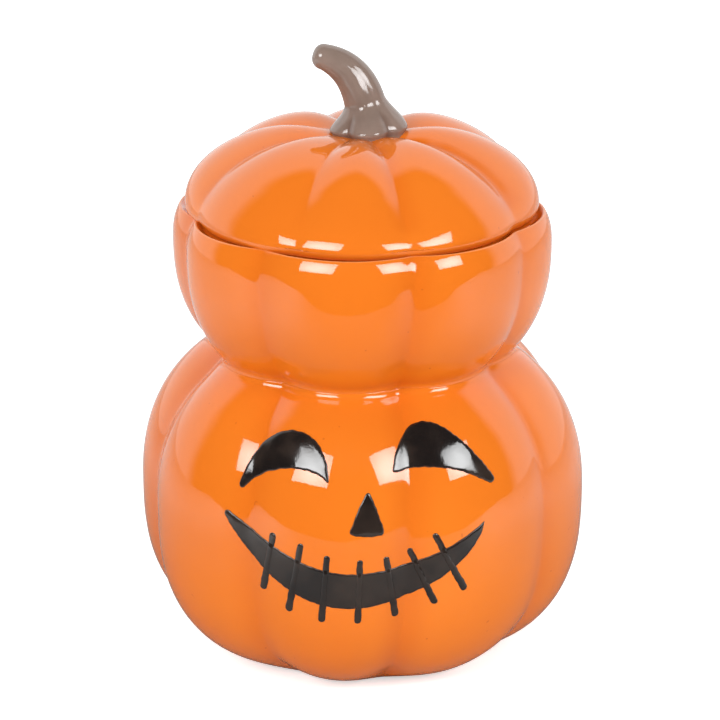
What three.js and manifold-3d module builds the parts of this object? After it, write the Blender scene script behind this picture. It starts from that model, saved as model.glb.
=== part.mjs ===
// Two-tier ceramic pumpkin jar with a lift-off lid. A large lobed pumpkin carries a smaller lobed
// bowl, the lobed lid drops into the bowl's mouth, a curved stem is the lid's handle, and a grinning
// face is laid on the front in raised enamel. Millimetres, +Z up. The origin is the centre of the
// flat foot, and the face looks towards -Y.
import * as THREE from 'three';
import { mergeVertices } from 'three/addons/utils/BufferGeometryUtils.js';
import Module from 'manifold-3d';

const wasm = await Module();
wasm.setup();

// ---- driving dimensions -------------------------------------------------------------------------
const gap = 0.3;              // clearance between pieces that touch

// Each lobed form is a superellipse turned about Z: a radius at its widest ring, a half-height and
// a power (2 is an ellipse, more is squarer) below and above that ring, and the lobes' crease depth.
// Creases fade in between the two radii of fade, so a form is smooth round its poles.
const lowerForm = { radius: 80, below: 63.4, belowPower: 2.78, above: 66.8, abovePower: 2.31, fade: [38, 62] };
const lowerEquator = 59.2;    // height of the lower pumpkin's widest ring; the floor cuts its foot flat
const lowerCrease = 3.8;      // depth of a full crease in the lower pumpkin
const bowlForm = { radius: 66.9, below: 55.2, belowPower: 2.39, above: 27.7, abovePower: 2.76, fade: [0, 12] };
const bowlCrease = 3.0;       // depth of a full crease in the bowl
const waistRadius = 53.9;     // where the lower pumpkin and the bowl meet
const rimRise = 12.4;         // the bowl's flat rim stands this far above its widest ring
const rimThickness = 6;       // thickness of the flange round the mouth
const rimLand = 10;           // width of the flat rim, from its outer edge to the mouth
const wall = 5.5;             // wall of the lower pumpkin and the bowl
const floorThickness = 7;     // base of the jar, over the flat foot
const frontReach = 0.04;      // the waist, bowl and lid reach further to the front, by this share
const reachRise = [-7, 7];    // and the reach grows between these heights over the waist

const lidForm = { below: 6, belowPower: 2, above: 30.6, abovePower: 2.07, fade: [6, 27] };
const lidLedge = 2.2;         // flat rim that shows outside the lid
const lidEdge = 1.2;          // rounded edge under the lid's widest ring
const lidCrease = 3.33;       // depth of a full crease in the lid
const lidWall = 5;
const lidSeat = 5;            // thickness of the lid's flat foot
const dimpleDepth = 6.9;      // hollow in the top of the lid, round the stem
const dimpleRadius = 20.7;
const collarClearance = 1.2;  // radial play of the locating collar in the mouth
const collarWall = 4;
const collarDepth = 9;        // the collar hangs this far below the rim

const stemX = 2.4;            // the stem stands slightly off the lid's axis
const stemFootRadius = 14.3;
const stemNeckRadius = 7.6;
const stemTipRadius = 4.5;
const stemFlareHeight = 11;   // the foot narrows to the neck over this height
const stemHeight = 27.6;      // from the bottom of the dimple to the middle of the tip
const stemLean = 15.6;        // sideways reach of the tip
const stemRib = 0.06;         // depth of the grooves low on the shaft, as a share of the radius
const stemFootRib = 0.11;     // and how much deeper they are in the flare
const stemRibFade = 0.8;      // share of that depth lost by the tip
const stemRibs = 5;
const stemRoot = 3;           // the stem's curve starts this far below the dimple's bottom
const stemFlareStart = 1.5;   // and the foot starts to narrow this far above it
const stemTipDome = 0.85;     // the tip's dome is this share of its radius high

const enamelThickness = 0.5;
const stitchThickness = 1.3;
const stitchWidth = 2.2;
const eyeDrop = 21;           // the eyes' middle line, below the waist
const noseRise = 18.3;        // the nose's middle, above the lower pumpkin's widest ring
const mouthDrop = 0;          // the mouth's middle line, below the same ring

// ---- creases ------------------------------------------------------------------------------------
// A crease has an azimuth in degrees from the front towards +X, a share of the form's full crease
// depth, and a lean in degrees for each 60 mm of height, as on a thrown form that twists a little.
const bodyCreases = withEvenBack([
  { azimuth: -75, depth: 1.22, lean: 0.8 },
  { azimuth: -29.5, depth: 0.85, lean: -1.6 },
  { azimuth: 11.8, depth: 1, lean: 2.6 },
  { azimuth: 55, depth: 0.8, lean: 1.9 },
], 4);
const lidCreases = withEvenBack([
  { azimuth: -111.6, depth: 0.8, lean: 0 },
  { azimuth: -68, depth: 0.82, lean: 0 },
  { azimuth: -21.6, depth: 0.55, lean: 0 },
  { azimuth: 15, depth: 0.87, lean: 0 },
  { azimuth: 60.9, depth: 1.16, lean: 0 },
  { azimuth: 107.3, depth: 0.74, lean: 0 },
], 2);

// Fill the rest of the circle with equally spaced creases of full depth.
function withEvenBack(creases, count) {
  const last = creases.at(-1).azimuth;
  const step = (360 - (last - creases[0].azimuth)) / (count + 1);
  const back = Array.from({ length: count }, (_, i) => ({ azimuth: last + step * (i + 1), depth: 1, lean: 0 }));
  return [...creases, ...back];
}

// How much of a crease's depth is reached at u, which runs from -1 to 1 across a lobe.
const creaseSoftness = 0.06;
function creaseShare(u) {
  const soften = (s) => Math.hypot(s, creaseSoftness) - creaseSoftness;
  return (1 - soften(1 - Math.abs(u)) / soften(1)) ** 2;
}

// ---- superellipse forms -------------------------------------------------------------------------
// Radius and height, relative to the widest ring, at the angle t: -90 is the lower pole.
function formPoint(form, t) {
  const [height, power] = t < 0 ? [form.below, form.belowPower] : [form.above, form.abovePower];
  const c = Math.abs(Math.cos(t));
  const s = Math.abs(Math.sin(t));
  const k = (c ** power + s ** power) ** (-1 / power);
  return { r: form.radius * k * c, z: Math.sign(t) * height * k * s };
}

// Half-height of a form at a given radius, and radius at a given half-height.
const across = (value, full, power) => (1 - (value / full) ** power) ** (1 / power);
const heightAt = (form, side, r) => form[side] * across(r, form.radius, form[`${side}Power`]);
const radiusAt = (form, side, z) => form.radius * across(z, form[side], form[`${side}Power`]);

// The same form with its radius and half-heights less a wall.
function inside(form, thickness) {
  const { radius, below, above } = form;
  return { ...form, radius: radius - thickness, below: below - thickness, above: above - thickness };
}

// ---- stacked heights ----------------------------------------------------------------------------
lowerForm.equator = lowerEquator;
const waistHeight = lowerForm.equator + heightAt(lowerForm, 'above', waistRadius);
bowlForm.equator = waistHeight + heightAt(bowlForm, 'below', waistRadius);
const rimHeight = bowlForm.equator + rimRise;
const rimRadius = radiusAt(bowlForm, 'above', rimRise);
const mouthRadius = rimRadius - rimLand;
const seatHeight = rimHeight + gap;
lidForm.radius = rimRadius - lidLedge;
lidForm.equator = seatHeight + lidEdge;
const collarRadius = mouthRadius - collarClearance;
const dimpleBottom = lidForm.equator + lidForm.above - dimpleDepth;

// ---- solids -------------------------------------------------------------------------------------
// A solid from rings of points, bottom to top, closed by a point at each end.
function ringSolid(bottom, rings, top) {
  const count = rings[0].length;
  const position = [...bottom, ...rings.flat(2), ...top];
  const at = (row, i) => 1 + row * count + (i % count);
  const last = 1 + rings.length * count;
  const index = [];
  for (let i = 0; i < count; i++) {
    index.push(0, at(0, i + 1), at(0, i));
    for (let row = 0; row + 1 < rings.length; row++) {
      index.push(at(row, i), at(row, i + 1), at(row + 1, i + 1));
      index.push(at(row, i), at(row + 1, i + 1), at(row + 1, i));
    }
    index.push(last, at(rings.length - 1, i), at(rings.length - 1, i + 1));
  }
  const mesh = new wasm.Mesh({
    numProp: 3,
    vertProperties: new Float32Array(position),
    triVerts: new Uint32Array(index),
  });
  return new wasm.Manifold(mesh);
}

// A three.js geometry as a solid, its shared points merged.
function toSolid(geometry) {
  geometry.deleteAttribute('normal');
  geometry.deleteAttribute('uv');
  const merged = mergeVertices(geometry, 1e-5);
  const mesh = new wasm.Mesh({
    numProp: 3,
    vertProperties: new Float32Array(merged.attributes.position.array),
    triVerts: new Uint32Array(merged.index.array),
  });
  return new wasm.Manifold(mesh);
}

function toGeometry(solid) {
  const { vertProperties, triVerts } = solid.getMesh();
  const geometry = new THREE.BufferGeometry();
  geometry.setAttribute('position', new THREE.BufferAttribute(vertProperties, 3));
  geometry.setIndex(new THREE.BufferAttribute(triVerts, 1));
  geometry.computeVertexNormals();
  return geometry;
}

// A whole lobed form. offset moves its surface outwards, and dimple hollows its top.
const formRows = 24;          // rings from pole to pole
const lobeSteps = 8;          // steps across a lobe, closer together near the creases
function lobedSolid(form, creases, depth, { offset = 0, dimple = 0 } = {}) {
  const ring = (t) => {
    const { r, z } = formPoint(form, t);
    const before = formPoint(form, t - 1e-3);
    const after = formPoint(form, t + 1e-3);
    const length = Math.hypot(after.r - before.r, after.z - before.z);
    const normal = { r: (after.z - before.z) / length, z: (before.r - after.r) / length };
    const fade = THREE.MathUtils.smoothstep(r, ...form.fade);
    return creases.flatMap((crease, k) => {
      const next = creases[(k + 1) % creases.length];
      const span = (next.azimuth - crease.azimuth + 360) % 360;
      const twist = (form.equator + z - lowerEquator) / 60;
      return Array.from({ length: lobeSteps }, (_, i) => {
        const u = Math.sin((i / lobeSteps - 0.5) * Math.PI);
        const share = (u + 1) / 2;
        const lean = THREE.MathUtils.lerp(crease.lean, next.lean, share) * twist;
        const azimuth = THREE.MathUtils.degToRad(crease.azimuth + span * share + lean);
        const nearest = u < 0 ? crease.depth : next.depth;
        const shift = offset - depth * nearest * fade * creaseShare(u);
        const radius = r + shift * normal.r;
        const height = form.equator + z + shift * normal.z - dimple * dimpleShare(radius);
        const reach = frontReach * THREE.MathUtils.smoothstep(height - waistHeight, ...reachRise);
        const forward = Math.cos(azimuth) * (1 + reach * Math.max(0, Math.cos(azimuth)) ** 2);
        return [[radius * Math.sin(azimuth), -radius * forward, height]];
      }).flat();
    });
  };
  const rows = Array.from({ length: formRows - 1 }, (_, i) => (i + 1) / formRows - 0.5);
  const pole = (height) => [0, 0, height];
  return ringSolid(
    pole(form.equator - form.below - offset),
    rows.map((row) => ring(row * Math.PI)),
    pole(form.equator + form.above + offset - dimple),
  );
}

function dimpleShare(radius) {
  return Math.exp(-((radius / dimpleRadius) ** 2));
}

// A round disc or bore between two heights, and a slab wide enough to cut anything.
const cutterRadius = 2 * Math.max(lowerForm.radius, bowlForm.radius);
function disc(radius, bottom, top, segments = 64) {
  const geometry = new THREE.CylinderGeometry(radius, radius, top - bottom, segments);
  geometry.rotateX(Math.PI / 2);
  geometry.translate(0, 0, (bottom + top) / 2);
  return toSolid(geometry);
}
const slab = (bottom, top) => disc(cutterRadius, bottom, top, 8);

// ---- castings -----------------------------------------------------------------------------------
function lowerPumpkin() {
  const outer = lobedSolid(lowerForm, bodyCreases, lowerCrease);
  const hollow = lobedSolid(inside(lowerForm, wall), bodyCreases, lowerCrease);
  const top = waistHeight - gap / 2;
  return outer.intersect(slab(0, top)).subtract(hollow.intersect(slab(floorThickness, top + wall)));
}

function upperBowl() {
  const outer = lobedSolid(bowlForm, bodyCreases, bowlCrease);
  const hollow = lobedSolid(inside(bowlForm, wall), bodyCreases, bowlCrease);
  const bottom = waistHeight + gap / 2;
  return outer
    .intersect(slab(bottom, rimHeight))
    .subtract(hollow.intersect(slab(bottom - wall, rimHeight - rimThickness)))
    .subtract(disc(mouthRadius, rimHeight - 2 * rimThickness, rimHeight + rimThickness));
}

function lidCasting() {
  const outer = lobedSolid(lidForm, lidCreases, lidCrease, { dimple: dimpleDepth });
  const hollow = lobedSolid(inside(lidForm, lidWall), lidCreases, lidCrease, { dimple: dimpleDepth });
  const ceiling = lidForm.equator + lidForm.above;
  const bore = disc(collarRadius - collarWall, seatHeight - 2 * collarDepth, seatHeight + 2 * lidSeat);
  return outer
    .intersect(slab(seatHeight, ceiling))
    .add(disc(collarRadius, seatHeight - gap - collarDepth, seatHeight + lidSeat))
    .subtract(hollow.intersect(slab(seatHeight + lidSeat, ceiling)))
    .subtract(bore.subtract(slab(seatHeight + lidSeat, ceiling)));
}

// The stem follows a curve that rises from the dimple and leans over to -X. Its foot flares out,
// and its ribs run out towards the rounded tip.
const stemSteps = 14;
const capSteps = 4;
const stemSides = 6 * stemRibs;
function stemHandle() {
  const point = (x, rise) => new THREE.Vector3(x, 0, dimpleBottom + rise);
  const path = new THREE.CubicBezierCurve3(
    point(stemX, -stemRoot),
    point(stemX + 0.02 * stemLean, 0.5 * stemHeight),
    point(stemX - 0.27 * stemLean, 0.87 * stemHeight),
    point(stemX - stemLean, stemHeight),
  );
  const ring = (t, radius, centre, flare = 0) => {
    const along = path.getTangent(t);
    const across = new THREE.Vector3(0, 1, 0).cross(along).normalize();
    const groove = stemRib * (1 - stemRibFade * t) + stemFootRib * flare;
    return Array.from({ length: stemSides }, (_, i) => {
      const angle = (i / stemSides) * 2 * Math.PI;
      const u = ((i * stemRibs * 2) / stemSides + 1) % 2 - 1;
      const r = radius * (1 - groove * creaseShare(u));
      const p = centre.clone().addScaledVector(across, r * Math.sin(angle));
      p.y -= r * Math.cos(angle);
      return p.toArray();
    });
  };
  const rings = [];
  for (let i = 0; i <= stemSteps; i++) {
    const t = i / stemSteps;
    const centre = path.getPoint(t);
    const rise = centre.z - dimpleBottom - stemFlareStart;
    const flare = 1 - THREE.MathUtils.smoothstep(rise, 0, stemFlareHeight);
    const shaft = THREE.MathUtils.lerp(stemNeckRadius, stemTipRadius, t ** 2);
    rings.push(ring(t, THREE.MathUtils.lerp(shaft, stemFootRadius, flare), centre, flare));
  }
  const end = path.getTangent(1);
  const domed = (angle) =>
    path.getPoint(1).addScaledVector(end, stemTipDome * stemTipRadius * Math.sin(angle));
  for (let i = 1; i < capSteps; i++) {
    const angle = (i / capSteps) * Math.PI / 2;
    rings.push(ring(1, stemTipRadius * Math.cos(angle), domed(angle)));
  }
  const solid = ringSolid(path.getPoint(0).toArray(), rings, domed(Math.PI / 2).toArray());
  const offset = 1.5 * gap;   // measured square to the undimpled dome, so the true gap is smaller
  return solid.subtract(lobedSolid(lidForm, lidCreases, lidCrease, { offset, dimple: dimpleDepth }));
}

// ---- painted face -------------------------------------------------------------------------------
// Each outline is drawn in X and Z as the face is seen from the front, and laid on the lobed
// surface as a layer of enamel between two offsets from it.
function surfaceAt(offset) {
  return lobedSolid(lowerForm, bodyCreases, lowerCrease, { offset });
}

function prism(outline, height) {
  const depth = lowerForm.radius + stitchThickness + 1;
  const geometry = new THREE.ExtrudeGeometry(outline, { depth, bevelEnabled: false, curveSegments: 7 });
  geometry.rotateX(Math.PI / 2);
  geometry.translate(0, 0, height);
  return toSolid(geometry);
}

const glaze = surfaceAt(gap);
function enamel(outline, height, thickness) {
  return prism(outline, height).intersect(surfaceAt(gap + thickness)).subtract(glaze);
}

const eyeHeight = waistHeight - eyeDrop;
const noseHeight = lowerForm.equator + noseRise;
const mouthHeight = lowerForm.equator - mouthDrop;

function leftEye() {
  const shape = new THREE.Shape();
  shape.moveTo(-41.6, -9);
  shape.bezierCurveTo(-38.6, -1.5, -31.5, 9.9, -21.5, 9.9);
  shape.bezierCurveTo(-14, 9.9, -11.2, 3.3, -11.1, -3.6);
  shape.quadraticCurveTo(-11.2, -4.5, -11.7, -3.9);
  shape.bezierCurveTo(-16, 0.8, -30, 1.2, -39.8, -10.2);
  shape.quadraticCurveTo(-41.4, -11, -41.6, -9);
  return shape;
}

function rightEye() {
  const shape = new THREE.Shape();
  shape.moveTo(10.3, -0.6);
  shape.bezierCurveTo(10.9, 5.3, 14.5, 12, 20.5, 12);
  shape.bezierCurveTo(29, 12, 38.3, 2.6, 44.4, -6.2);
  shape.quadraticCurveTo(45.3, -8.1, 43.3, -8.3);
  shape.bezierCurveTo(37.5, -4.6, 29, 1.2, 12.2, -1.9);
  shape.quadraticCurveTo(10.2, -2.2, 10.3, -0.6);
  return shape;
}

function noseOutline() {
  const shape = new THREE.Shape();
  shape.moveTo(0.9, 6);
  shape.quadraticCurveTo(2, 8.2, 3.1, 6);
  shape.quadraticCurveTo(5.6, 0.4, 7.3, -5.4);
  shape.quadraticCurveTo(7.6, -7.4, 6, -7.4);
  shape.quadraticCurveTo(2, -7.9, -2.6, -7);
  shape.quadraticCurveTo(-4.6, -6.8, -3.9, -4.9);
  shape.quadraticCurveTo(-1.8, 0.8, 0.9, 6);
  return shape;
}

function mouthOutline() {
  const shape = new THREE.Shape();
  shape.moveTo(-46.8, 12.6);
  shape.bezierCurveTo(-40.2, 1.2, -26.5, -15.6, -3, -15.4);
  shape.bezierCurveTo(22, -15, 40.5, 2.3, 41.4, 12);
  shape.bezierCurveTo(26, 1.3, 12, -2.6, -3, -2.4);
  shape.bezierCurveTo(-18, -2.2, -29.5, 4.2, -45.2, 13.9);
  shape.quadraticCurveTo(-46.6, 14.2, -46.8, 12.6);
  return shape;
}

// Each stitch is one brush stroke with round ends: the middles of its top and its bottom end.
const stitchStrokes = [
  [-30, 8.6, -33.4, -11],
  [-20.7, 6.7, -24.8, -17.2],
  [-11.8, 3.2, -13.6, -19.7],
  [-0.7, 1.7, -1.4, -20.1],
  [8.2, 2.2, 11.2, -18.8],
  [16.2, 4.1, 24.4, -14.8],
  [24.9, 9, 34.5, -10.6],
];

function strokeOutline([topX, topZ, bottomX, bottomZ]) {
  const shape = new THREE.Shape();
  const along = Math.atan2(topZ - bottomZ, topX - bottomX);
  shape.absarc(topX, topZ, stitchWidth / 2, along - Math.PI / 2, along + Math.PI / 2, false);
  shape.absarc(bottomX, bottomZ, stitchWidth / 2, along + Math.PI / 2, along + Math.PI * 1.5, false);
  shape.closePath();
  return shape;
}

// A stitch runs over the mouth's layer, so its underside has a pocket that clears that layer.
const mouthPocket = [-2 * gap, 0, 2 * gap]
  .map((shift) => prism(mouthOutline(), mouthHeight + shift))
  .reduce((all, each) => all.add(each))
  .intersect(surfaceAt(2 * gap + enamelThickness));
function stitch(stroke) {
  return enamel(strokeOutline(stroke), mouthHeight, stitchThickness).subtract(mouthPocket);
}

// ---- assembly -----------------------------------------------------------------------------------
const orangeGlaze = () => new THREE.MeshStandardMaterial({ color: 0xf87c26, roughness: 0.08, metalness: 0 });
const stemGlaze = () => new THREE.MeshStandardMaterial({ color: 0x8b7167, roughness: 0.1, metalness: 0 });
const blackEnamel = () => new THREE.MeshStandardMaterial({ color: 0x2a1e19, roughness: 0.15, metalness: 0 });

const jar = new THREE.Group();
function place(name, solid, material) {
  const mesh = new THREE.Mesh(toGeometry(solid), material);
  mesh.name = name;
  jar.add(mesh);
}

place('lower_pumpkin', lowerPumpkin(), orangeGlaze());
place('upper_bowl', upperBowl(), orangeGlaze());
place('lid', lidCasting(), orangeGlaze());
place('stem', stemHandle(), stemGlaze());
place('left_eye', enamel(leftEye(), eyeHeight, enamelThickness), blackEnamel());
place('right_eye', enamel(rightEye(), eyeHeight, enamelThickness), blackEnamel());
place('nose', enamel(noseOutline(), noseHeight, enamelThickness), blackEnamel());
place('mouth', enamel(mouthOutline(), mouthHeight, enamelThickness), blackEnamel());
stitchStrokes.forEach((stroke, i) => place(`stitch_${i + 1}`, stitch(stroke), blackEnamel()));

export default jar;
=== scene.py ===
"""A two-tier ceramic pumpkin jar with a lift-off lid: orange glaze, a taupe stem and a painted face.

Metres, +Z up, the foot's centre at the origin, the face towards -Y. Every surface is built from the
jar's own profiles: superellipses turned about Z and pressed in along their creases.
"""
import math

import bpy
import numpy as np
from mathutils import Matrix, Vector
from mathutils.bvhtree import BVHTree
from mathutils.geometry import delaunay_2d_cdt


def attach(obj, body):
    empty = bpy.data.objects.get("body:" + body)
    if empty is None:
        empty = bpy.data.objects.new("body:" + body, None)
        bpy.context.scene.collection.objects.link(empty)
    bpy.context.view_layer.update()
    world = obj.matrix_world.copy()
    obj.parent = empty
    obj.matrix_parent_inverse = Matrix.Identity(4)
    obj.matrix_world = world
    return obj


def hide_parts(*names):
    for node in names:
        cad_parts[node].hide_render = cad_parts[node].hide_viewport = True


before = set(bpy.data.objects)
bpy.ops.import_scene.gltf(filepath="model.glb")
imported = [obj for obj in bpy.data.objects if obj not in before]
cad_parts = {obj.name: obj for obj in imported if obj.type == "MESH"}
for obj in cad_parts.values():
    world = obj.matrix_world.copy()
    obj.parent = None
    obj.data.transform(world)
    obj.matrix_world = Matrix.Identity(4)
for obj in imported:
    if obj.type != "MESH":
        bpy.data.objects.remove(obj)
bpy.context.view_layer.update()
MM = 0.001

# ---- dimensions, in millimetres -------------------------------------------------------------------
LOWER = dict(radius=80, below=63.4, below_power=2.78, above=66.8, above_power=2.31, fade=(38, 62),
             equator=59.2)
BOWL = dict(radius=66.9, below=55.2, below_power=2.39, above=27.7, above_power=2.76, fade=(0, 12))
LID = dict(below=6, below_power=2, above=30.6, above_power=2.07, fade=(6, 27))
LOWER_CREASE, BOWL_CREASE, LID_CREASE = 3.8, 3.0, 3.33
CREASE_SOFTNESS = 0.06
LEAN_HEIGHT = 60   # a crease leans by its own angle over this height
FOOT_ROUNDING = 1.1
WAIST_RADIUS, WAIST_FILLET = 53.9, 6.0
WAIST_BLEND = 7   # the fillet is blended within this height of the waist
RIM_RISE, RIM_THICKNESS, RIM_LAND, WALL, FLOOR_THICKNESS = 12.4, 6, 10, 5.5, 7
GAP = 0.3
FRONT_REACH, REACH_RISE = 0.04, (-7, 7)   # the upper tiers reach forward, from these heights over the waist
LID_LEDGE, LID_EDGE, LID_WALL, LID_SEAT = 2.2, 1.2, 5, 5
LEDGE_FALL, LEDGE_WIDTH, LID_PLAY = 1.6, 2.6, 0.5   # the rim falls inwards, and the lid's edge sits in it
LID_EDGE_EASE = 0.45   # share of a lid crease's depth that is lost at the lid's edge
LID_ROLL = 4.6   # the lid's front rolls in more tightly over its edge
DIMPLE_DEPTH, DIMPLE_RADIUS = 6.9, 20.7
COLLAR_CLEARANCE, COLLAR_WALL, COLLAR_DEPTH = 1.2, 4, 9
STEM = dict(x=2.4, foot=14.3, neck=7.6, tip=4.5, flare=11, flare_start=1.5, tuck=1.5, height=27.6, lean=15.6,
            root=3, tip_dome=0.85, ribs=5, groove=0.05, groove_fade=0.8, foot_groove=0.12, flat=0.08,
            flat_at=0.45, flat_width=0.5)
SWELL = 0.07   # the castings are not quite true


def even_back(creases, count):
    """The creases seen on the front, and equally spaced ones round the rest of the circle."""
    last = creases[-1][0]
    step = (360 - (last - creases[0][0])) / (count + 1)
    return creases + [(last + step * (i + 1), 1, 0) for i in range(count)]


# Azimuth in degrees from the front towards +X, share of the form's crease depth, lean in degrees.
BODY_CREASES = even_back([(-75, 1.22, 0.8), (-29.5, 0.85, -1.6), (11.8, 1, 2.6), (55, 0.8, 1.9)], 4)
LID_CREASES = even_back(
    [(-111.6, 0.8, 0), (-68, 0.82, 0), (-21.6, 0.55, 0), (15, 0.87, 0), (60.9, 1.16, 0), (107.3, 0.74, 0)], 2)


# ---- profiles -------------------------------------------------------------------------------------
def smoothstep(x, low, high):
    t = np.clip((x - low) / (high - low), 0, 1)
    return t * t * (3 - 2 * t)


def smooth_max(a, b, reach):
    """The larger of two, rounded off where they are closer together than reach."""
    h = np.maximum(reach - np.abs(a - b), 0) / reach
    return np.maximum(a, b) + h * h * reach / 4


def across(value, full, power):
    return (1 - (value / full) ** power) ** (1 / power)


def form_point(form, t):
    """Radius and height over the widest ring at the angle t, from -90 degrees at the lower pole."""
    c, s = np.abs(np.cos(t)), np.abs(np.sin(t))
    power = np.where(t < 0, form["below_power"], form["above_power"])
    height = np.where(t < 0, form["below"], form["above"])
    k = (c**power + s**power) ** (-1 / power)
    return form["radius"] * k * c, np.sign(t) * height * k * s


def inside(form, wall):
    return dict(form, radius=form["radius"] - wall, below=form["below"] - wall, above=form["above"] - wall)


def crease_share(u):
    soften = lambda s: np.hypot(s, CREASE_SOFTNESS) - CREASE_SOFTNESS
    return (1 - soften(1 - np.abs(u)) / soften(1)) ** 2


def columns(creases, steps):
    """One entry for each column of a lobed surface: azimuth, crease share, lean and place in the lobe."""
    made = []
    for k, (azimuth, depth, lean) in enumerate(creases):
        next_azimuth, next_depth, next_lean = creases[(k + 1) % len(creases)]
        span = (next_azimuth - azimuth) % 360
        for i in range(steps):
            u = math.sin((i / steps - 0.5) * math.pi)
            share = (u + 1) / 2
            nearest = depth if u < 0 else next_depth
            made.append((azimuth + span * share, nearest * float(crease_share(np.array(u))),
                         lean + (next_lean - lean) * share, u))
    return made


WAIST = LOWER["equator"] + LOWER["above"] * across(WAIST_RADIUS, LOWER["radius"], LOWER["above_power"])
BOWL["equator"] = WAIST + BOWL["below"] * across(WAIST_RADIUS, BOWL["radius"], BOWL["below_power"])
RIM = BOWL["equator"] + RIM_RISE
RIM_RADIUS = BOWL["radius"] * across(RIM_RISE, BOWL["above"], BOWL["above_power"])
MOUTH_RADIUS = RIM_RADIUS - RIM_LAND
SEAT = RIM + GAP
LID["radius"] = RIM_RADIUS - LID_LEDGE
LID["equator"] = SEAT + LID_EDGE
COLLAR_RADIUS = MOUTH_RADIUS - COLLAR_CLEARANCE
DIMPLE_BOTTOM = LID["equator"] + LID["above"] - DIMPLE_DEPTH
LID_FOOT = RIM - LEDGE_FALL + GAP

SWEEP = np.linspace(-math.pi / 2, math.pi / 2, 1201)
HALF = len(SWEEP) // 2   # the widest ring's place in the sweep


def creased(form, depth, share, dimple=0):
    """A form's profile from pole to pole in one column, as radii and heights over the foot."""
    r, z = form_point(form, SWEEP)
    dr, dz = np.gradient(r), np.gradient(z)
    length = np.hypot(dr, dz)
    shift = -depth * share * smoothstep(r, *form["fade"])
    radius = np.maximum(r + shift * dz / length, 0)
    height = form["equator"] + z - shift * dr / length
    return radius, height - dimple * np.exp(-((radius / DIMPLE_RADIUS) ** 2))


# ---- polylines ------------------------------------------------------------------------------------
def arc(path):
    return np.concatenate([[0], np.cumsum(np.hypot(*np.diff(path, axis=0).T))])


def sample(path, shares):
    s = arc(path)
    return np.column_stack([np.interp(np.asarray(shares) * s[-1], s, path[:, i]) for i in (0, 1)])


def trimmed(path, start, end):
    """The path less a length at each end."""
    s = arc(path)
    low, high = start, s[-1] - end
    keep = (s > low + 1e-9) & (s < high - 1e-9)
    ends = [np.array([np.interp(at, s, path[:, i]) for i in (0, 1)]) for at in (low, high)]
    return np.vstack([ends[0], path[keep], ends[1]])


def loop(parts, closed):
    """Joins paths with rounded corners: each is (points, shares to sample, corner after it, its rows)."""
    rows = []
    count = len(parts)
    for i, (path, shares, _, _) in enumerate(parts):
        before = parts[i - 1][2] if i or closed else 0
        path, after = np.array(path, float), parts[i][2]
        cut = trimmed(path, before, after if i < count - 1 or closed else 0)
        rows.append(sample(cut, shares))
        if after and (i < count - 1 or closed):
            following = np.array(parts[(i + 1) % count][0], float)
            start = cut[-1]
            s = arc(following)
            stop = np.array([np.interp(after, s, following[:, k]) for k in (0, 1)])
            t = np.linspace(0, 1, parts[i][3] + 2)[1:-1, None]
            corner = following[0]
            rows.append((1 - t) ** 2 * start + 2 * t * (1 - t) * corner + t**2 * stop)
    return np.vstack(rows)


def eased(count, start=1.0, end=1.0, reach=0.06):
    """Shares from 0 to 1, closer together towards an end whose weight is above 1."""
    t = np.linspace(0, 1, 400)
    density = 1 + (start - 1) * np.exp(-t / reach) + (end - 1) * np.exp(-(1 - t) / reach)
    total = np.concatenate([[0], np.cumsum((density[1:] + density[:-1]) / 2)])
    return np.interp(np.linspace(0, 1, count), total / total[-1], t)


# ---- meshes ---------------------------------------------------------------------------------------
def undulation(points, size):
    """A slow, slight swelling of a hand-cast surface."""
    x, y, z = (points / 21.0).T
    return size * (np.sin(1.7 * x + 0.9 * z + 0.4) * np.sin(1.3 * y - 1.1 * z + 1.9)
                   + 0.6 * np.sin(2.9 * x - 2.3 * y + 0.7) * np.sin(2.6 * z + 1.3 * x + 0.2)
                   + 0.35 * np.sin(5.1 * z + 3.7 * y) * np.sin(4.3 * x - 2.0 * z + 2.2)) / 1.5


def finish_mesh(name, points, faces, attributes):
    mesh = bpy.data.meshes.new(name)
    mesh.from_pydata((np.asarray(points) * MM).tolist(), [], faces)
    mesh.validate()
    mesh.shade_smooth()
    for key, values in attributes.items():
        mesh.attributes.new(key, "FLOAT", "POINT").data.foreach_set("value", np.asarray(values, np.float32))
    mesh.update()
    made = bpy.data.objects.new(name, mesh)
    bpy.context.scene.collection.objects.link(made)
    return made


def grid_faces(rows, count, close_rows):
    """Quads between rows of points that run round +Z, facing out of a profile drawn upwards."""
    faces = []
    for row in range(rows if close_rows else rows - 1):
        a, b = row * count, ((row + 1) % rows) * count
        faces += [(a + i, a + (i + 1) % count, b + (i + 1) % count, b + i) for i in range(count)]
    return faces


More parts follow.
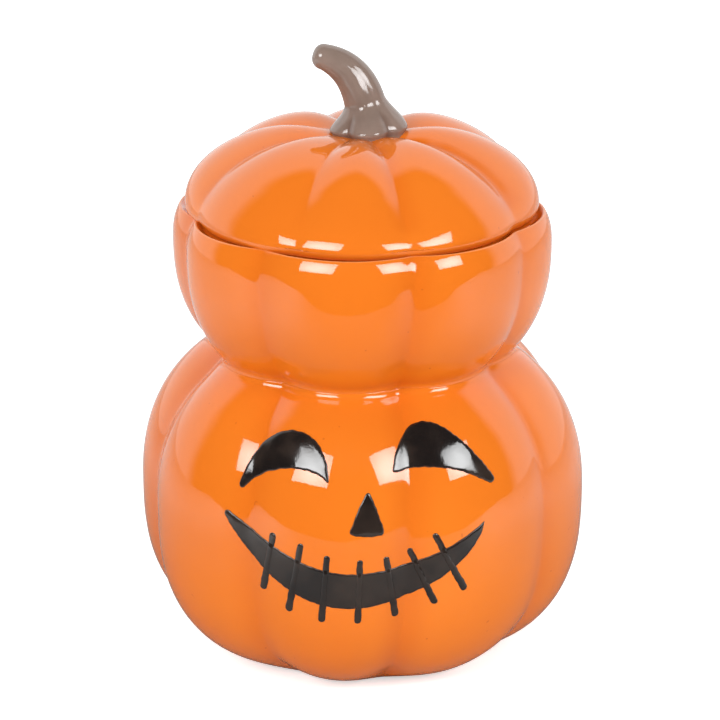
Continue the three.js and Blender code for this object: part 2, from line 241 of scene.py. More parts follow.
def turned(name, profiles, spots, poles, attributes, swelling=None):
    """A surface from one profile for each column. poles: a point closes the first and the last row.

    swelling gives the share of the swell at each height.
    """
    profiles = np.array(profiles)  # column, row, (radius, height)
    count, rows = profiles.shape[:2]
    azimuth = np.array([c[0] for c in spots])[:, None]
    lean = np.array([c[2] for c in spots])[:, None]
    angle = np.radians(azimuth + lean * (profiles[..., 1] - LOWER["equator"]) / LEAN_HEIGHT)
    reach = FRONT_REACH * smoothstep(profiles[..., 1] - WAIST, *REACH_RISE)
    forward = np.cos(angle) * (1 + reach * np.maximum(np.cos(angle), 0) ** 2)
    points = np.stack([profiles[..., 0] * np.sin(angle), -profiles[..., 0] * forward, profiles[..., 1]], -1)
    points = points.transpose(1, 0, 2)  # row, column, xyz
    if swelling:
        flat = points.reshape(-1, 3)
        away = flat * [1, 1, 0]
        away /= np.maximum(np.linalg.norm(away, axis=1, keepdims=True), 1e-6)
        flat = flat + away * (undulation(flat, SWELL) * swelling(flat[:, 2]))[:, None]
        points = flat.reshape(points.shape)
    flat = points.reshape(-1, 3).tolist()
    faces = grid_faces(rows, count, not poles)
    values = {key: list(np.array(v).T.reshape(-1)) for key, v in attributes.items()}
    if poles:
        for row in (0, rows - 1):
            ring = [row * count + i for i in range(count)]
            centre = len(flat)
            flat.append([0, 0, float(points[row, :, 2].mean())])
            for key in values:
                values[key].append(float(np.mean([values[key][i] for i in ring])))
            pairs = zip(ring, ring[1:] + ring[:1])
            faces += [(centre, a, b) if row else (centre, b, a) for a, b in pairs]
    return finish_mesh(name, flat, faces, values)


STEPS = 36          # columns in each lobe
CENTRE = 0.4        # where a profile starts, beside the point on the axis
FOOT_ROWS, RIM_ROW = 10, 87


def waist_fillet(share, near):
    """The outside at heights near the waist, with the two tiers blended into each other."""
    r, z = creased(LOWER, LOWER_CREASE, share)
    bowl_r, bowl_z = creased(BOWL, BOWL_CREASE, share)
    lower_at = np.interp(near, z[HALF + 1:], r[HALF + 1:], right=0)
    upper_at = np.interp(near, bowl_z[:HALF], bowl_r[:HALF])
    return np.column_stack([smooth_max(lower_at, upper_at, WAIST_FILLET), near])


def lower_pumpkin():
    spots = columns(BODY_CREASES, STEPS)
    profiles, pooled, bisque = [], [], []
    for _, share, _, _ in spots:
        r, z = creased(LOWER, LOWER_CREASE, share)
        # the underside as heights over the floor, rounded into the flat foot
        under = np.linspace(0, r[HALF] - 6, 500)
        foot_z = smooth_max(np.interp(under, r[: HALF + 1], z[: HALF + 1]), 0 * under, FOOT_ROUNDING)
        start = np.searchsorted(foot_z, 0.02)
        rise = (z > foot_z[-1] + 0.05) & (z < WAIST - WAIST_BLEND)
        body = np.vstack([np.column_stack([under[start:], foot_z[start:]]),
                          np.column_stack([r[rise], z[rise]]),
                          waist_fillet(share, np.linspace(WAIST - WAIST_BLEND + 0.1, WAIST, 120))])
        in_r, in_z = creased(inside(LOWER, WALL), LOWER_CREASE, share)
        keep = (in_z > FLOOR_THICKNESS) & (in_z < WAIST)
        cavity = np.column_stack([in_r[keep], in_z[keep]])[::-1]
        foot = [[CENTRE, 0.0], body[0] * [1, 0]]
        parts = [
            (foot, eased(FOOT_ROWS, 1, 6), 0, 0),
            (body, eased(96, 8, 6)[1:], 0, 0),
            ([body[-1], cavity[0]], [0.35, 1], 0, 0),
            (cavity, eased(40)[1:], 2.5, 4),
            ([cavity[-1], [CENTRE, FLOOR_THICKNESS]], eased(8), 0, 0),
        ]
        profile = loop(parts, False)
        profiles.append(profile)
        pooled.append(np.full(len(profile), share))
        bisque.append(np.arange(len(profile)) < FOOT_ROWS)
    even = lambda z: smoothstep(z, 4, 14) * (1 - smoothstep(z, WAIST - 8, WAIST - 2))
    return turned("lower_pumpkin_glazed", profiles, spots, True, {"pool": pooled, "bisque": bisque}, even)


def upper_bowl():
    spots = columns(BODY_CREASES, STEPS)
    profiles, pooled, arris = [], [], []
    for _, share, _, _ in spots:
        r, z = creased(BOWL, BOWL_CREASE, share)
        rest = (z > WAIST + WAIST_BLEND) & (z < RIM)
        outer = np.vstack([waist_fillet(share, np.linspace(WAIST, WAIST + WAIST_BLEND - 0.1, 120)),
                           np.column_stack([r[rest], z[rest]])])
        outer = np.vstack([outer, [outer[-1, 0], RIM]])
        in_r, in_z = creased(inside(BOWL, WALL), BOWL_CREASE, share)
        keep = (in_z > WAIST) & (in_z < RIM - RIM_THICKNESS)
        cavity = np.column_stack([in_r[keep], in_z[keep]])[::-1]
        ledge = [outer[-1], [outer[-1, 0] - LEDGE_WIDTH, RIM - LEDGE_FALL], [MOUTH_RADIUS, RIM - LEDGE_FALL]]
        parts = [
            (outer, eased(84, 6, 6), 0.9, 6),
            (ledge, eased(14, 3, 2), 0.9, 5),
            ([ledge[-1], [MOUTH_RADIUS, RIM - RIM_THICKNESS]], eased(5), 0.9, 4),
            ([[MOUTH_RADIUS, RIM - RIM_THICKNESS], cavity[0]], eased(4), 1.5, 4),
            (cavity, eased(36), 0, 0),
            ([cavity[-1], outer[0]], [0.3, 0.9], 0, 0),
        ]
        profile = loop(parts, True)
        profiles.append(profile)
        pooled.append(np.full(len(profile), share))
        arris.append(np.exp(-(((np.arange(len(profile)) - RIM_ROW) / 2.2) ** 2)))
    even = lambda z: smoothstep(z, WAIST + 2, WAIST + 9)
    return turned("upper_bowl_glazed", profiles, spots, False, {"pool": pooled, "arris": arris}, even)


def lid_casting():
    spots = columns(LID_CREASES, STEPS)
    rim = columns(BODY_CREASES, STEPS)
    turn = (RIM - LOWER["equator"]) / LEAN_HEIGHT
    rim_azimuth = [(c[0] + c[2] * turn) % 360 for c in rim]
    rim_share = lambda azimuth: np.interp(azimuth, rim_azimuth, [c[1] for c in rim], period=360)
    profiles, pooled, arris = [], [], []
    bore = COLLAR_RADIUS - COLLAR_WALL
    collar_foot = SEAT - GAP - COLLAR_DEPTH
    for azimuth, share, _, _ in spots:
        # the creases are shallower at the edge, and the edge keeps clear of the bowl's rim
        r, z = creased(LID, LID_CREASE, share, DIMPLE_DEPTH)
        over = z - LID["equator"]
        low = 1 - smoothstep(over, 0, 11)
        front = max(0, math.cos(math.radians(azimuth))) ** 2
        roll = smooth_max(smoothstep(over, -4, 16) - smoothstep(0, -4, 16), 0, 0.08)
        r = r - LID_ROLL * front * roll * (1 - smoothstep(over, 15, 29))
        side = SWEEP > -0.02
        r = r + low * LID_EDGE_EASE * LID_CREASE * share * side
        limit = RIM_RADIUS - BOWL_CREASE * float(rim_share(azimuth % 360)) - LID_PLAY
        limit = limit - 0.5 + 1.1 * np.maximum(z - RIM, 0)
        r = -smooth_max(-r, -limit, 0.8)
        keep = (z > LID["equator"] - 0.1) & (r > 0.5) & side
        outer = np.column_stack([r[keep], z[keep]])
        # a rounded edge turns in under the widest ring
        t = np.linspace(0, 1, 24)[::-1, None]
        start, foot = outer[0], np.array([outer[0, 0] - 1.7, LID_FOOT])
        bend = np.array([outer[0, 0] - 0.1, LID_FOOT + 0.9])
        edge = (1 - t) ** 2 * start + 2 * t * (1 - t) * bend + t**2 * foot
        outer = np.vstack([edge[:-1], outer])
        in_r, in_z = creased(inside(LID, LID_WALL), LID_CREASE, share, DIMPLE_DEPTH)
        keep = (in_z > SEAT + LID_SEAT) & (in_r > 0.5) & (SWEEP > 0)
        hollow = np.column_stack([in_r[keep], in_z[keep]])[::-1]
        parts = [
            (hollow, eased(40), 1.5, 4),
            ([hollow[-1], [bore, SEAT + LID_SEAT]], eased(4), 0.9, 4),
            ([[bore, SEAT + LID_SEAT], [bore, collar_foot]], eased(8), 0.9, 4),
            ([[bore, collar_foot], [COLLAR_RADIUS, collar_foot]], eased(4), 0.9, 4),
            ([[COLLAR_RADIUS, collar_foot], [COLLAR_RADIUS, LID_FOOT]], eased(8), 0.5, 4),
            ([[COLLAR_RADIUS, LID_FOOT], outer[0]], eased(6), 0.5, 4),
            (outer, eased(120, 9, 1), 0, 0),
        ]
        profile = loop(parts, False)
        profiles.append(profile)
        fade = smoothstep(profile[:, 1], LID["equator"], LID["equator"] + 8)
        pooled.append(share * fade)
        beyond_collar = profile[:, 0] > COLLAR_RADIUS + 2
        arris.append(0.5 * np.exp(-(((profile[:, 1] - LID_FOOT - 0.6) / 0.5) ** 2)) * beyond_collar)
    return turned("lid_glazed", profiles, spots, True, {"pool": pooled, "arris": arris})


def stem_handle():
    """A curve that rises from the dimple and leans over to -X, with a flared foot and a domed tip."""
    sides, steps, cap = STEM["ribs"] * 22, 72, 12
    height, lean, tip = STEM["height"], STEM["lean"], STEM["tip"]
    at = lambda x, rise: np.array([x, 0.0, DIMPLE_BOTTOM + rise])
    control = [at(STEM["x"], -STEM["root"]), at(STEM["x"] + 0.02 * lean, 0.5 * height),
               at(STEM["x"] - 0.27 * lean, 0.87 * height), at(STEM["x"] - lean, height)]

    def spot(t):
        s = 1 - t
        point = (s**3 * control[0] + 3 * s * s * t * control[1] + 3 * s * t * t * control[2]
                 + t**3 * control[3])
        along = (s * s * (control[1] - control[0]) + 2 * s * t * (control[2] - control[1])
                 + t * t * (control[3] - control[2]))
        return point, along / np.linalg.norm(along)

    angle = np.arange(sides) / sides * 2 * math.pi
    lobe = (angle * STEM["ribs"] / math.pi + 1) % 2 - 1
    rings, depth = [], []

    # the shaft is flattened between its front rib and the next one
    flat_side = np.exp(-(((angle - STEM["flat_at"]) / STEM["flat_width"]) ** 2))

    def ring(centre, along, radius, groove, flat):
        sideways = np.cross([0, 1, 0], along)
        sideways /= np.linalg.norm(sideways)
        forward = np.cross(sideways, along)
        share = crease_share(lobe)
        r = radius * (1 - groove * share - flat * flat_side)
        x, y = r * np.sin(angle), r * np.cos(angle)
        rings.append(centre + x[:, None] * sideways + y[:, None] * forward)
        depth.append(share * min(1, groove / 0.1))

    foot_at = 0.045   # the foot is cut here, just under the lid's surface
    for t in np.linspace(foot_at, 1, steps):
        centre, along = spot(t)
        rise = centre[2] - DIMPLE_BOTTOM - STEM["flare_start"]
        flare = 1 - float(smoothstep(rise, 0, STEM["flare"]))
        shaft = STEM["neck"] + (tip - STEM["neck"]) * t**2
        tuck = STEM["tuck"] * (1 - float(smoothstep(rise, -0.8, 1.8)))
        groove = STEM["groove"] * (1 - STEM["groove_fade"] * t) + STEM["foot_groove"] * flare
        flat = STEM["flat"] * (1 - t**4) * (1 - flare)
        ring(centre, along, shaft + (STEM["foot"] - shaft) * flare - tuck, groove, flat)
    end, along = spot(1)
    dome = along * STEM["tip_dome"] * tip
    for i in range(1, cap):
        turn = i / cap * math.pi / 2
        swell = math.cos(turn) ** 0.8
        groove = STEM["groove"] * (1 - STEM["groove_fade"]) * swell
        ring(end + dome * math.sin(turn), along, tip * swell, groove, 0)
    points = np.vstack(rings)
    count = len(rings)
    faces = grid_faces(count, sides, False)
    bottom, top = len(points), len(points) + 1
    points = np.vstack([points, spot(foot_at)[0], end + dome])
    last = (count - 1) * sides
    for i in range(sides):
        j = (i + 1) % sides
        faces += [(bottom, j, i), (top, last + i, last + j)]
    values = np.concatenate([np.concatenate(depth), [0, 0]])
    return finish_mesh("stem_glazed", points, faces, {"pool": values})


# ---- painted face ---------------------------------------------------------------------------------
def bezier(*segments):
    """A closed outline from the first point and then cubic or quadratic segments."""
    points, here = [], np.array(segments[0], float)
    for segment in segments[1:]:
        knots = np.vstack([here, np.array(segment, float).reshape(-1, 2)])
        size = np.abs(np.diff(knots, axis=0)).sum()
        t = np.linspace(0, 1, max(6, int(size / 0.5)))[:-1, None]
        if len(knots) == 4:
            basis = [(1 - t) ** 3, 3 * t * (1 - t) ** 2, 3 * t * t * (1 - t), t**3]
        else:
            basis = [(1 - t) ** 2, 2 * t * (1 - t), t * t]
        points.append(sum(b * k for b, k in zip(basis, knots)))
        here = knots[-1]
    return np.vstack(points)


LEFT_EYE = bezier((-41.6, -9), (-38.6, -1.5, -31.5, 9.9, -21.5, 9.9), (-14, 9.9, -11.2, 3.3, -11.1, -3.6),
                  (-11.2, -4.5, -11.7, -3.9), (-16, 0.8, -30, 1.2, -39.8, -10.2), (-41.4, -11, -41.6, -9))
RIGHT_EYE = bezier((10.3, -0.6), (10.9, 5.3, 14.5, 12, 20.5, 12), (29, 12, 38.3, 2.6, 44.4, -6.2),
                   (45.3, -8.1, 43.3, -8.3), (37.5, -4.6, 29, 1.2, 12.2, -1.9), (10.2, -2.2, 10.3, -0.6))
NOSE = bezier((0.9, 6), (2, 8.2, 3.1, 6), (5.6, 0.4, 7.3, -5.4), (7.6, -7.4, 6, -7.4), (2, -7.9, -2.6, -7),
              (-4.6, -6.8, -3.9, -4.9), (-1.8, 0.8, 0.9, 6))
MOUTH = bezier((-46.8, 12.6), (-40.2, 1.2, -26.5, -15.6, -3, -15.4), (22, -15, 40.5, 2.3, 41.4, 12),
               (26, 1.3, 12, -2.6, -3, -2.4), (-18, -2.2, -29.5, 4.2, -45.2, 13.9),
               (-46.6, 14.2, -46.8, 12.6))
STITCHES = [(-30, 8.6, -33.4, -11), (-20.7, 6.7, -24.8, -17.2), (-11.8, 3.2, -13.6, -19.7),
            (-0.7, 1.7, -1.4, -20.1), (8.2, 2.2, 11.2, -18.8), (16.2, 4.1, 24.4, -14.8),
            (24.9, 9, 34.5, -10.6)]
STITCH_WIDTH, STITCH_HEIGHT = 2.2, 0.4
EYE_HEIGHT, NOSE_HEIGHT, MOUTH_HEIGHT = WAIST - 21, LOWER["equator"] + 18.3, LOWER["equator"]
ENAMEL_HEIGHT, ENAMEL_EDGE, ENAMEL_ROOT, ENAMEL_PITCH = 0.36, 0.85, 0.15, 1.3
BRUSH_WAVER = 0.09
MOUTH_PLACED = MOUTH + [0, MOUTH_HEIGHT]


def stroke(top_x, top_z, bottom_x, bottom_z):
    """A brush stroke with round ends, slightly fuller at its foot."""
    start, end = np.array([top_x, top_z]), np.array([bottom_x, bottom_z])
    along = math.atan2(*(start - end)[::-1])
    half = STITCH_WIDTH / 2
    a = np.linspace(-math.pi / 2, math.pi / 2, 9)
    cap = lambda centre, turn, r: centre + r * np.column_stack([np.cos(a + turn), np.sin(a + turn)])
    ends = [cap(start, along, half * 0.95), cap(end, along + math.pi, half * 1.1)]
    outline = []
    for own, other in (ends, ends[::-1]):
        outline += [own, own[-1] + (other[0] - own[-1]) * np.linspace(0, 1, 34)[1:-1, None]]
    return np.vstack(outline)


def edge_distance(points, outline):
    """Distance from each point to a closed outline."""
    best = np.full(len(points), 1e9)
    for p, q in zip(outline, np.roll(outline, -1, axis=0)):
        d = q - p
        t = np.clip(((points - p) @ d) / max(d @ d, 1e-12), 0, 1)
        best = np.minimum(best, np.hypot(*(points - p - t[:, None] * d).T))
    return best


def within(points, outline):
    """Which points lie inside a closed outline."""
    inside_now = np.zeros(len(points), bool)
    for p, q in zip(outline, np.roll(outline, -1, axis=0)):
        if p[1] == q[1]:
            continue
        crosses = ((p[1] > points[:, 1]) != (q[1] > points[:, 1])) & (
            points[:, 0] < (q[0] - p[0]) * (points[:, 1] - p[1]) / (q[1] - p[1]) + p[0])
        inside_now ^= crosses
    return inside_now


def rounded(distance, height, width):
    """A quarter ellipse of that height and width, and flat beyond it."""
    return height * np.sqrt(1 - (1 - np.clip(distance / width, 0, 1)) ** 2)


def inward(outline):
    """Unit directions into a closed outline, one at each of its points."""
    direction = np.roll(outline, -1, axis=0) - np.roll(outline, 1, axis=0)
    area = np.sum(outline[:, 0] * np.roll(outline[:, 1], -1) - np.roll(outline[:, 0], -1) * outline[:, 1])
    normal = np.column_stack([-direction[:, 1], direction[:, 0]]) * np.sign(area)
    return normal / np.maximum(np.linalg.norm(normal, axis=1, keepdims=True), 1e-9)


def enamel(name, outline, height, surface, thickness, edge, over_mouth=False):
    """A layer of enamel with a rounded edge, laid on the glaze and rooted just under it."""
    outline = outline + [0, height]
    count = len(outline)
    # the edge wavers a little, as a brush leaves it
    x, z = outline.T
    waver = np.sin(0.95 * x + 0.6 * z + 0.8) * np.sin(0.8 * z - 0.5 * x)
    waver += 0.6 * np.sin(2.1 * x - 1.6 * z + 2.0)
    outline = outline + inward(outline) * (BRUSH_WAVER * waver)[:, None]
    normal = inward(outline)
    inner = []
    for share in (0.06, 0.18, 0.36, 0.62, 1.0):
        ring = outline + normal * share * edge
        ok = within(ring, outline) & (edge_distance(ring, outline) > 0.93 * share * edge)
        inner.append(ring[ok])
    low, high = outline.min(0), outline.max(0)
    levels = enumerate(np.arange(low[1], high[1], ENAMEL_PITCH * 0.87))
    grid = np.array([(x + (row % 2) * ENAMEL_PITCH / 2, z) for row, z in levels
                     for x in np.arange(low[0], high[0], ENAMEL_PITCH)])
    grid = grid[within(grid, outline)]
    inner.append(grid[edge_distance(grid, outline) > edge + 0.45])
    flat = np.vstack([outline, *inner])
    ring_edges = [(i, (i + 1) % count) for i in range(count)]
    cut = delaunay_2d_cdt([Vector(p) for p in flat], ring_edges, [list(range(count))], 1, 1e-7)
    verts, tris = cut[0], cut[2]
    flat = np.array([tuple(v) for v in verts])
    distance = edge_distance(flat, outline)
    distance[distance < 1e-4] = 0
    puddle = np.sin(flat[:, 0] * 0.55 + 1.1) * np.sin(flat[:, 1] * 0.7 + flat[:, 0] * 0.2)
    lift = rounded(distance, thickness, edge) * (1 + 0.10 * puddle)
    if over_mouth:
        depth = edge_distance(flat, MOUTH_PLACED) * np.where(within(flat, MOUTH_PLACED), 1, -1)
        lift = lift + ENAMEL_HEIGHT * smoothstep(depth, -0.6, 1.0) * np.minimum(1, distance / edge * 3)
    points, roots = [], []
    for (x, z), up in zip(flat, lift):
        hit, away, _, _ = surface.ray_cast(Vector((x, -120, z)), Vector((0, 1, 0)))
        points.append(np.array(hit) + np.array(away) * up)
        roots.append(np.array(hit) - np.array(away) * ENAMEL_ROOT)
    total = len(points)
    faces, edges = [], {}
    for tri in tris:
        a, b, c = (flat[i] for i in tri)
        turn = (b[0] - a[0]) * (c[1] - a[1]) - (b[1] - a[1]) * (c[0] - a[0])
        tri = tuple(tri) if turn > 0 else tuple(tri)[::-1]
        faces.append(tri)
        faces.append(tuple(i + total for i in tri[::-1]))
        for i in range(3):
            pair = (tri[i], tri[(i + 1) % 3])
            edges[pair] = True
    for a, b in list(edges):
        if (b, a) not in edges:
            faces.append((b, a, a + total, b + total))
    thin = np.concatenate([1 - np.clip(distance / (edge * 0.9), 0, 1), np.ones(total)])
    if over_mouth:
        thin *= 0.6
    return finish_mesh(name, np.vstack([points, roots]), faces, {"thin": thin})


# ---- materials ------------------------------------------------------------------------------------
class Nodes:
    """A short way to write a material's nodes."""

    def __init__(self, name):
        self.material = bpy.data.materials.new(name)
        self.material.use_nodes = True
        self.tree = self.material.node_tree
        self.shader = self.tree.nodes["Principled BSDF"]
        self.place = self.add("ShaderNodeTexCoord").outputs["Object"]

    def add(self, kind, **settings):
        node = self.tree.nodes.new(kind)
        for key, value in settings.items():
            setattr(node, key, value)
        return node

    def join(self, source, target):
        self.tree.links.new(source, target)

    def noise(self, scale, detail=2.0, roughness=0.5):
        node = self.add("ShaderNodeTexNoise")
        self.join(self.place, node.inputs["Vector"])
        node.inputs["Scale"].default_value = scale
        node.inputs["Detail"].default_value = detail
        node.inputs["Roughness"].default_value = roughness
        return node.outputs["Fac"]

    def value(self, name):
        return self.add("ShaderNodeAttribute", attribute_name=name).outputs["Fac"]

    def span(self, source, low, high, to_low=0.0, to_high=1.0):
        node = self.add("ShaderNodeMapRange", interpolation_type="SMOOTHSTEP")
        self.join(source, node.inputs["Value"])
        for key, number in zip(("From Min", "From Max", "To Min", "To Max"), (low, high, to_low, to_high)):
            node.inputs[key].default_value = number
        return node.outputs["Result"]

    def math(self, kind, a, b):
        node = self.add("ShaderNodeMath", operation=kind)
        for i, x in enumerate((a, b)):
            if isinstance(x, (int, float)):
                node.inputs[i].default_value = x
            else:
                self.join(x, node.inputs[i])
        return node.outputs["Value"]

    def mix(self, share, a, b):
        node = self.add("ShaderNodeMix", data_type="RGBA")
        self.join(share, node.inputs["Factor"])
        for key, x in ((6, a), (7, b)):
            if isinstance(x, tuple):
                node.inputs[key].default_value = (*x, 1)
            else:
                self.join(x, node.inputs[key])
        return node.outputs[2]

    def bump(self, height, distance, strength=1.0, under=None):
        node = self.add("ShaderNodeBump")
        node.inputs["Strength"].default_value = strength
        node.inputs["Distance"].default_value = distance
        self.join(height, node.inputs["Height"])
        if under is not None:
            self.join(under, node.inputs["Normal"])
        return node.outputs["Normal"]


def orange_glaze():
    n = Nodes("orange_glaze")
    tone = n.noise(9, 3)
    colour = n.mix(n.span(tone, 0.35, 0.68), (0.715, 0.160, 0.0115), (0.765, 0.184, 0.0148))
    colour = n.mix(n.span(n.value("pool"), 0.35, 1.1, 0, 0.55), colour, (0.64, 0.122, 0.007))
    colour = n.mix(n.span(n.value("arris"), 0, 1, 0, 0.4), colour, (0.86, 0.36, 0.13))
    specks = n.span(n.noise(430, 1), 0.785, 0.815)
    colour = n.mix(n.math("MULTIPLY", specks, 0.4), colour, (0.38, 0.055, 0.008))
    edge = n.math("ADD", n.value("bisque"), n.math("MULTIPLY", n.math("SUBTRACT", n.noise(160, 3), 0.5), 0.8))
    bare = n.span(edge, 0.42, 0.58)
    chalk = n.mix(n.noise(300, 4), (0.80, 0.72, 0.62), (0.70, 0.60, 0.50))
    n.join(n.mix(bare, colour, chalk), n.shader.inputs["Base Color"])
    gloss = n.span(n.noise(38, 3), 0.3, 0.7, 0.028, 0.06)
    n.join(n.math("ADD", gloss, n.math("MULTIPLY", bare, 0.7)), n.shader.inputs["Roughness"])
    n.shader.inputs["IOR"].default_value = 1.58
    waves = n.bump(n.noise(62, 1), 0.00022)
    peel = n.bump(n.noise(520, 2), 0.0000075, under=waves)
    n.join(peel, n.shader.inputs["Normal"])
    return n.material


def stem_glaze():
    n = Nodes("stem_glaze")
    colour = n.mix(n.span(n.noise(90, 4), 0.35, 0.7), (0.205, 0.146, 0.118), (0.248, 0.180, 0.148))
    colour = n.mix(n.span(n.value("pool"), 0.45, 1, 0, 0.6), colour, (0.140, 0.085, 0.065))
    n.join(colour, n.shader.inputs["Base Color"])
    n.join(n.span(n.noise(60, 2), 0.3, 0.7, 0.05, 0.10), n.shader.inputs["Roughness"])
    n.shader.inputs["IOR"].default_value = 1.58
    waves = n.bump(n.noise(140, 2), 0.00020)
    n.join(n.bump(n.noise(700, 2), 0.00001, under=waves), n.shader.inputs["Normal"])
    return n.material


def black_enamel():
    n = Nodes("black_enamel")
    colour = n.mix(n.span(n.noise(45, 4, 0.62), 0.36, 0.66), (0.009, 0.0062, 0.0055), (0.030, 0.0195, 0.0145))
    worn = n.math("MULTIPLY", n.value("thin"), n.span(n.noise(210, 3), 0.3, 0.75, 0.35, 1.0))
    colour = n.mix(n.span(worn, 0.25, 1.0, 0, 0.75), colour, (0.12, 0.040, 0.014))
    n.join(colour, n.shader.inputs["Base Color"])
    gloss = n.span(n.noise(90, 2), 0.3, 0.7, 0.06, 0.13)
    n.join(n.math("ADD", gloss, n.math("MULTIPLY", n.value("thin"), 0.3)), n.shader.inputs["Roughness"])
    n.shader.inputs["IOR"].default_value = 1.66
    n.join(n.bump(n.noise(230, 3), 0.00006), n.shader.inputs["Normal"])
    return n.material


# ---- the pieces -----------------------------------------------------------------------------------
glaze, taupe, black = orange_glaze(), stem_glaze(), black_enamel()


def add(piece, material, body, node):
    piece.data.materials.append(material)
    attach(piece, body)
    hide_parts(node)


pumpkin = lower_pumpkin()
add(pumpkin, glaze, "jar", "lower_pumpkin")
add(upper_bowl(), glaze, "jar", "upper_bowl")
add(lid_casting(), glaze, "lid_and_stem", "lid")
add(stem_handle(), taupe, "lid_and_stem", "stem")

surface = BVHTree.FromPolygons([v.co / MM for v in pumpkin.data.vertices],
                               [tuple(p.vertices) for p in pumpkin.data.polygons])
for node, outline, height in (("left_eye", LEFT_EYE, EYE_HEIGHT), ("right_eye", RIGHT_EYE, EYE_HEIGHT),
                              ("nose", NOSE, NOSE_HEIGHT), ("mouth", MOUTH, MOUTH_HEIGHT)):
    piece = enamel(node + "_enamel", outline, height, surface, ENAMEL_HEIGHT, ENAMEL_EDGE)
    add(piece, black, "jar", node)
for i, ends in enumerate(STITCHES, 1):
    piece = enamel(f"stitch_{i}_enamel", stroke(*ends), MOUTH_HEIGHT, surface, STITCH_HEIGHT,
                   STITCH_WIDTH / 2, True)
    add(piece, black, "jar", f"stitch_{i}")


# ---- table, light and camera ----------------------------------------------------------------------
def table():
    """A white table top with a soft front edge. Reflections in the glaze see it darker close to the jar,
    which is painted shade, and it glows as painted light, more so away from the jar.
    """
    front, back, half, drop = -0.40, 2.5, 1.3, 0.35
    points = [(-half, back, 0), (half, back, 0), (half, front + 0.02, 0), (-half, front + 0.02, 0),
              (half, front, -0.02), (-half, front, -0.02), (half, front, -drop), (-half, front, -drop)]
    mesh = bpy.data.meshes.new("table")
    mesh.from_pydata(points, [], [(3, 2, 1, 0), (5, 4, 2, 3), (7, 6, 4, 5)])
    mesh.update()
    made = bpy.data.objects.new("table", mesh)
    bpy.context.scene.collection.objects.link(made)
    n = Nodes("white_table")
    n.tree.nodes.remove(n.shader)
    away = n.add("ShaderNodeVectorMath", operation="LENGTH")
    n.join(n.place, away.inputs[0])
    depth = n.add("ShaderNodeSeparateXYZ")
    n.join(n.place, depth.inputs[0])
    beside = n.math("MULTIPLY", n.math("ABSOLUTE", depth.outputs["X"], 0.0), 0.8)
    behind = n.span(n.math("ADD", depth.outputs["Y"], beside), -0.2, 0.1)
    far = n.math("MULTIPLY", n.span(away.outputs["Value"], 0.08, 0.34), behind)
    # painted shade: glossy rays see the table dark grey close to the jar and lighter far behind it; the
    # emission is painted light, shown to the camera and stronger away from the jar
    lit, painted_shade_in_glaze = n.add("ShaderNodeBsdfDiffuse"), n.add("ShaderNodeBsdfDiffuse")
    painted_glow = n.add("ShaderNodeEmission")
    lit.inputs["Color"].default_value = (0.9, 0.9, 0.9, 1)
    n.join(n.mix(far, (0.285, 0.28, 0.275), (0.66, 0.66, 0.66)), painted_shade_in_glaze.inputs["Color"])
    path = n.add("ShaderNodeLightPath")
    seen = n.math("SUBTRACT", 1.0, path.outputs["Is Glossy Ray"])
    shown = n.math("MULTIPLY", path.outputs["Is Camera Ray"], 0.6)
    n.join(n.math("ADD", shown, n.math("MULTIPLY", far, 0.3)), painted_glow.inputs["Strength"])
    either, both = n.add("ShaderNodeMixShader"), n.add("ShaderNodeAddShader")
    n.join(seen, either.inputs[0])
    n.join(painted_shade_in_glaze.outputs[0], either.inputs[1])
    n.join(lit.outputs[0], either.inputs[2])
    n.join(either.outputs[0], both.inputs[0])
    n.join(painted_glow.outputs[0], both.inputs[1])
    n.join(both.outputs[0], n.tree.nodes["Material Output"].inputs["Surface"])
    mesh.materials.append(n.material)
    return made


table()
MIDDLE = Vector((0, 0, 0.11))


def softbox(name, azimuth, elevation, width, height, strength, mirrored=True):
    """A rectangular light that faces the jar, brightest a little above its middle."""
    data = bpy.data.lights.new(name, "AREA")
    data.shape, data.size, data.size_y = "RECTANGLE", width, height
    data.energy = strength
    data.color = (0.985, 0.995, 1.0)
    data.use_nodes = True
    tree = data.node_tree
    put = tree.nodes.new
    spot, middle, fade = put("ShaderNodeNewGeometry"), put("ShaderNodeVectorMath"), put("ShaderNodeMapRange")
    middle.operation = "DISTANCE"
    middle.inputs[1].default_value = (0.5, 0.42, 0)
    tree.links.new(spot.outputs["Parametric"], middle.inputs[0])
    tree.links.new(middle.outputs["Value"], fade.inputs["Value"])
    fade.interpolation_type = "SMOOTHSTEP"
    for key, number in (("From Min", 0.1), ("From Max", 0.75), ("To Min", 1.1), ("To Max", 0.6)):
        fade.inputs[key].default_value = number
    tree.links.new(fade.outputs["Result"], tree.nodes["Emission"].inputs["Strength"])
    made = bpy.data.objects.new(name, data)
    a, e = math.radians(azimuth), math.radians(elevation)
    away = Vector((math.sin(a) * math.cos(e), -math.cos(a) * math.cos(e), math.sin(e)))
    made.location = MIDDLE + away * 0.9
    made.rotation_euler = away.to_track_quat("Z", "Y").to_euler()
    made.visible_camera = False
    made.visible_glossy = mirrored
    bpy.context.scene.collection.objects.link(made)


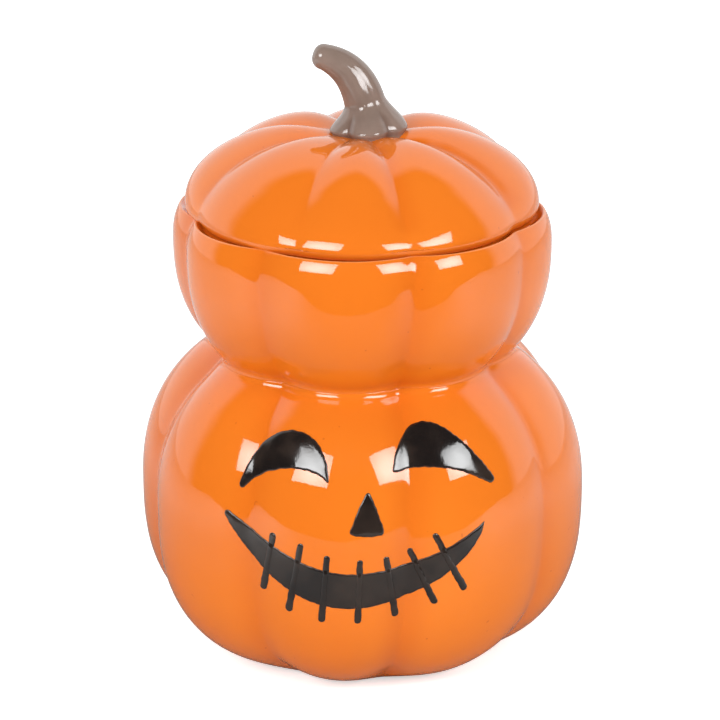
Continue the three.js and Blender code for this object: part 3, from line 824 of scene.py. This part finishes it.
softbox("left_softbox", -34, 28.3, 0.48, 0.35, 5.8)
softbox("right_softbox", 42, 28.3, 0.40, 0.35, 4.9)
softbox("fill", 3, 36, 0.8, 0.3, 2.2, mirrored=False)


def studio():
    """White walls: bright at the sides and behind the jar, dark behind the camera."""
    world = bpy.data.worlds.new("studio")
    world.use_nodes = True
    bpy.context.scene.world = world
    tree = world.node_tree
    tree.nodes.clear()
    put, join = tree.nodes.new, tree.links.new
    where, split, ramp = put("ShaderNodeTexCoord"), put("ShaderNodeSeparateXYZ"), put("ShaderNodeMapRange")
    side, behind, level = put("ShaderNodeMath"), put("ShaderNodeMath"), put("ShaderNodeMath")
    seen, background = put("ShaderNodeLightPath"), put("ShaderNodeBackground")
    out = put("ShaderNodeOutputWorld")
    join(where.outputs["Generated"], split.inputs["Vector"])
    side.operation, behind.operation, level.operation = "ABSOLUTE", "MULTIPLY_ADD", "MAXIMUM"
    behind.inputs[1].default_value = 0.22
    join(split.outputs["X"], side.inputs[0])
    join(side.outputs[0], behind.inputs[0])
    join(split.outputs["Y"], behind.inputs[2])
    join(behind.outputs[0], ramp.inputs["Value"])
    ramp.interpolation_type = "SMOOTHSTEP"
    for key, number in (("From Min", 0.18), ("From Max", 0.42), ("To Min", 0.05), ("To Max", 1.25)):
        ramp.inputs[key].default_value = number
    background.inputs["Color"].default_value = (1, 1, 1, 1)
    join(ramp.outputs["Result"], level.inputs[0])
    join(seen.outputs["Is Camera Ray"], level.inputs[1])
    join(level.outputs["Value"], background.inputs["Strength"])
    join(background.outputs["Background"], out.inputs["Surface"])


studio()
bpy.context.scene.view_settings.view_transform = "Standard"

AIM, DISTANCE, ELEVATION = Vector((-0.00065, 0, 0.105)), 0.971, math.radians(19.5)
camera_data = bpy.data.cameras.new("camera")
camera_data.sensor_width, camera_data.lens = 36, 135.9
camera = bpy.data.objects.new("camera", camera_data)
away = Vector((0, -math.cos(ELEVATION), math.sin(ELEVATION)))
camera.location = AIM + away * DISTANCE
camera.rotation_euler = away.to_track_quat("Z", "Y").to_euler()
bpy.context.scene.collection.objects.link(camera)
bpy.context.scene.camera = camera
